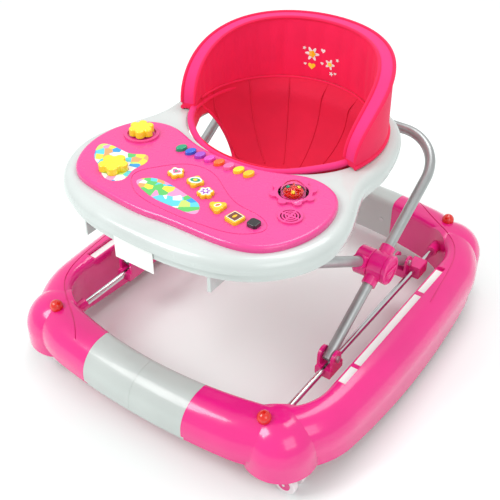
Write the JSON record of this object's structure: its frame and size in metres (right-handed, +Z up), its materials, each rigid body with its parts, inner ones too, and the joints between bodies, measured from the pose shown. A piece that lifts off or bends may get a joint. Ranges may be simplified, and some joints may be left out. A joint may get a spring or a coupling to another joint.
{
  "type": "baby walker",
  "caption": "Baby walker with rocker base, swivel casters, folding scissor frame, padded seat and toy tray.",
  "frame": {"origin": "on the floor, in the middle of the base's footprint", "axes": "+X to the seated child's left hand, -Y towards the toy tray, +Z up"},
  "size_m": [0.5718, 0.654, 0.452],
  "materials": {
    "pink_plastic": "gloss moulded plastic",
    "panel_pink": "gloss moulded plastic",
    "silver_plastic": "satin silver-grey moulded plastic",
    "tray_white": "gloss off-white moulded plastic",
    "clear_red": "translucent red plastic",
    "chrome": "plated rod",
    "grey_paint": "silver-grey painted tube",
    "steel": "zinc-plated fasteners",
    "label_white": "blank film label",
    "print_sheet": "printed film sheet",
    "wheel_clear": "milky plastic",
    "yellow_plastic": "gloss moulded plastic",
    "amber_plastic": "gloss moulded plastic",
    "black_plastic": "gloss moulded plastic",
    "dark_plastic": "moulded plastic",
    "board_green": "printed circuit board",
    "cell": "dry cell",
    "window_clear": "clear plastic",
    "fabric_pink": "woven polyester",
    "hardboard": "hardboard stiffener",
    "key_green": "gloss moulded plastic",
    "key_blue": "gloss moulded plastic",
    "key_purple": "gloss moulded plastic",
    "key_magenta": "gloss moulded plastic",
    "key_orange": "gloss moulded plastic",
    "key_pink": "gloss moulded plastic"
  },
  "bodies": {
    "root": {"base_side_right": "pink_plastic", "base_side_left": "pink_plastic", "base_sleeves": "silver_plastic", "base_screws": "steel", "corner_domes": "clear_red", "side_rods": "chrome", "ledge_labels": "label_white", "front_brackets": "pink_plastic", "front_pivot_screws": "steel"},
    "rear_frame": {"rear_frame_tube": "grey_paint", "hub_outer_right": "pink_plastic", "hub_outer_left": "pink_plastic", "hub_pins": "steel"},
    "front_frame": {"front_frame_tube": "grey_paint", "hub_inner_right": "pink_plastic", "hub_inner_left": "pink_plastic", "rear_pivot_screws": "steel"},
    "rear_brackets": {"rear_bracket_right": "pink_plastic", "rear_bracket_left": "pink_plastic"},
    "tray": {"tray_shell": "tray_white", "tray_panel": "panel_pink", "panel_print": "print_sheet", "spinner_dome": "window_clear", "speaker_grille": "panel_pink", "speaker_driver": "dark_plastic", "circuit_board": "board_green", "battery_box": "tray_white", "battery_door": "tray_white", "batteries": "cell", "backrest_pad": "fabric_pink", "backrest_board": "hardboard", "seat_sling": "fabric_pink", "hang_tag": "label_white"},
    "hub_knob_right": {"hub_knob_right": "pink_plastic"},
    "hub_knob_left": {"hub_knob_left": "pink_plastic"},
    "key_1": {"key_1": "key_green"},
    "key_2": {"key_2": "key_blue"},
    "key_3": {"key_3": "key_purple"},
    "key_4": {"key_4": "key_magenta"},
    "key_5": {"key_5": "key_orange"},
    "key_6": {"key_6": "key_pink"},
    "key_7": {"key_7": "yellow_plastic"},
    "key_8": {"key_8": "amber_plastic"},
    "tune_button_1": {"tune_button_1": "amber_plastic"},
    "tune_button_2": {"tune_button_2": "amber_plastic"},
    "tune_button_3": {"tune_button_3": "amber_plastic"},
    "tune_button_4": {"tune_button_4": "amber_plastic"},
    "tune_button_5": {"tune_button_5": "amber_plastic"},
    "leaf_button": {"leaf_button": "yellow_plastic"},
    "flower_knob": {"flower_knob": "yellow_plastic"},
    "power_knob": {"power_knob": "black_plastic"},
    "spinner_core": {"spinner_core": "clear_red"},
    "caster_fork_front_left": {"caster_fork_front_left": "pink_plastic"},
    "caster_wheels_front_left": {"caster_wheels_front_left": "wheel_clear"},
    "caster_fork_front_right": {"caster_fork_front_right": "pink_plastic"},
    "caster_wheels_front_right": {"caster_wheels_front_right": "wheel_clear"},
    "caster_fork_rear_left": {"caster_fork_rear_left": "pink_plastic"},
    "caster_wheels_rear_left": {"caster_wheels_rear_left": "wheel_clear"},
    "caster_fork_rear_right": {"caster_fork_rear_right": "pink_plastic"},
    "caster_wheels_rear_right": {"caster_wheels_rear_right": "wheel_clear"}
  },
  "joints": [
    {"name": "fold", "type": "hinge", "parent": "root", "child": "rear_frame", "pos_m": [0, -0.108, 0.097], "axis": [-1, 0, 0], "range_deg": [0, 17.5]},
    {"name": "scissor", "type": "hinge", "parent": "rear_frame", "child": "front_frame", "pos_m": [0, 0.02, 0.177], "axis": [-1, 0, 0], "range_deg": [-35, 0]},
    {"name": "rear_bracket_tilt", "type": "hinge", "parent": "front_frame", "child": "rear_brackets", "pos_m": [0, 0.148, 0.097], "axis": [-1, 0, 0], "range_deg": [0, 17.5]},
    {"name": "tray_level", "type": "hinge", "parent": "rear_frame", "child": "tray", "pos_m": [0, 0.208, 0.2945], "axis": [-1, 0, 0], "range_deg": [-17.5, 0]},
    {"name": "hub_knob_right_turn", "type": "hinge", "parent": "rear_frame", "child": "hub_knob_right", "pos_m": [0.207, 0.02, 0.177], "axis": [1, 0, 0], "range_deg": [0, 90]},
    {"name": "hub_knob_left_turn", "type": "hinge", "parent": "rear_frame", "child": "hub_knob_left", "pos_m": [-0.207, 0.02, 0.177], "axis": [-1, 0, 0], "range_deg": [0, 90]},
    {"name": "key_1_press", "type": "slide", "parent": "tray", "child": "key_1", "axis": [0, 0, -1], "range_m": [0, 0.003], "stiffness_N_per_m": 150, "springref_m": -0.001},
    {"name": "key_2_press", "type": "slide", "parent": "tray", "child": "key_2", "axis": [0, 0, -1], "range_m": [0, 0.003], "stiffness_N_per_m": 150, "springref_m": -0.001},
    {"name": "key_3_press", "type": "slide", "parent": "tray", "child": "key_3", "axis": [0, 0, -1], "range_m": [0, 0.003], "stiffness_N_per_m": 150, "springref_m": -0.001},
    {"name": "key_4_press", "type": "slide", "parent": "tray", "child": "key_4", "axis": [0, 0, -1], "range_m": [0, 0.003], "stiffness_N_per_m": 150, "springref_m": -0.001},
    {"name": "key_5_press", "type": "slide", "parent": "tray", "child": "key_5", "axis": [0, 0, -1], "range_m": [0, 0.003], "stiffness_N_per_m": 150, "springref_m": -0.001},
    {"name": "key_6_press", "type": "slide", "parent": "tray", "child": "key_6", "axis": [0, 0, -1], "range_m": [0, 0.003], "stiffness_N_per_m": 150, "springref_m": -0.001},
    {"name": "key_7_press", "type": "slide", "parent": "tray", "child": "key_7", "axis": [0, 0, -1], "range_m": [0, 0.003], "stiffness_N_per_m": 150, "springref_m": -0.001},
    {"name": "key_8_press", "type": "slide", "parent": "tray", "child": "key_8", "axis": [0, 0, -1], "range_m": [0, 0.003], "stiffness_N_per_m": 150, "springref_m": -0.001},
    {"name": "tune_button_1_press", "type": "slide", "parent": "tray", "child": "tune_button_1", "axis": [0, 0, -1], "range_m": [0, 0.003], "stiffness_N_per_m": 200, "springref_m": -0.001},
    {"name": "tune_button_2_press", "type": "slide", "parent": "tray", "child": "tune_button_2", "axis": [0, 0, -1], "range_m": [0, 0.003], "stiffness_N_per_m": 200, "springref_m": -0.001},
    {"name": "tune_button_3_press", "type": "slide", "parent": "tray", "child": "tune_button_3", "axis": [0, 0, -1], "range_m": [0, 0.003], "stiffness_N_per_m": 200, "springref_m": -0.001},
    {"name": "tune_button_4_press", "type": "slide", "parent": "tray", "child": "tune_button_4", "axis": [0, 0, -1], "range_m": [0, 0.003], "stiffness_N_per_m": 200, "springref_m": -0.001},
    {"name": "tune_button_5_press", "type": "slide", "parent": "tray", "child": "tune_button_5", "axis": [0, 0, -1], "range_m": [0, 0.003], "stiffness_N_per_m": 200, "springref_m": -0.001},
    {"name": "leaf_button_press", "type": "slide", "parent": "tray", "child": "leaf_button", "axis": [0, 0, -1], "range_m": [0, 0.004], "stiffness_N_per_m": 300, "springref_m": -0.001},
    {"name": "flower_knob_turn", "type": "hinge", "parent": "tray", "child": "flower_knob", "pos_m": [-0.139, -0.107, 0.35], "axis": [0, 0, 1], "continuous": true},
    {"name": "power_knob_turn", "type": "hinge", "parent": "tray", "child": "power_knob", "pos_m": [0.119, -0.194, 0.348], "axis": [0, 0, 1], "range_deg": [-40, 40]},
    {"name": "spinner_turn", "type": "hinge", "parent": "tray", "child": "spinner_core", "pos_m": [0.12, -0.108, 0.352], "axis": [0, 0, 1], "continuous": true},
    {"name": "caster_front_left_swivel", "type": "hinge", "parent": "root", "child": "caster_fork_front_left", "pos_m": [-0.216, -0.265, 0.06], "axis": [0, 0, 1], "continuous": true},
    {"name": "caster_front_left_roll", "type": "hinge", "parent": "caster_fork_front_left", "child": "caster_wheels_front_left", "pos_m": [-0.203, -0.265, 0.017], "axis": [0, 1, 0], "continuous": true},
    {"name": "caster_front_right_swivel", "type": "hinge", "parent": "root", "child": "caster_fork_front_right", "pos_m": [0.216, -0.265, 0.06], "axis": [0, 0, 1], "continuous": true},
    {"name": "caster_front_right_roll", "type": "hinge", "parent": "caster_fork_front_right", "child": "caster_wheels_front_right", "pos_m": [0.229, -0.265, 0.017], "axis": [0, 1, 0], "continuous": true},
    {"name": "caster_rear_left_swivel", "type": "hinge", "parent": "root", "child": "caster_fork_rear_left", "pos_m": [-0.216, 0.265, 0.06], "axis": [0, 0, 1], "continuous": true},
    {"name": "caster_rear_left_roll", "type": "hinge", "parent": "caster_fork_rear_left", "child": "caster_wheels_rear_left", "pos_m": [-0.203, 0.265, 0.017], "axis": [0, 1, 0], "continuous": true},
    {"name": "caster_rear_right_swivel", "type": "hinge", "parent": "root", "child": "caster_fork_rear_right", "pos_m": [0.216, 0.265, 0.06], "axis": [0, 0, 1], "continuous": true},
    {"name": "caster_rear_right_roll", "type": "hinge", "parent": "caster_fork_rear_right", "child": "caster_wheels_rear_right", "pos_m": [0.229, 0.265, 0.017], "axis": [0, 1, 0], "continuous": true}
  ],
  "couplings": [
    {"joint": "scissor", "follows": "fold", "ratio": -2},
    {"joint": "rear_bracket_tilt", "follows": "fold", "ratio": 1},
    {"joint": "tray_level", "follows": "fold", "ratio": -1}
  ]
}
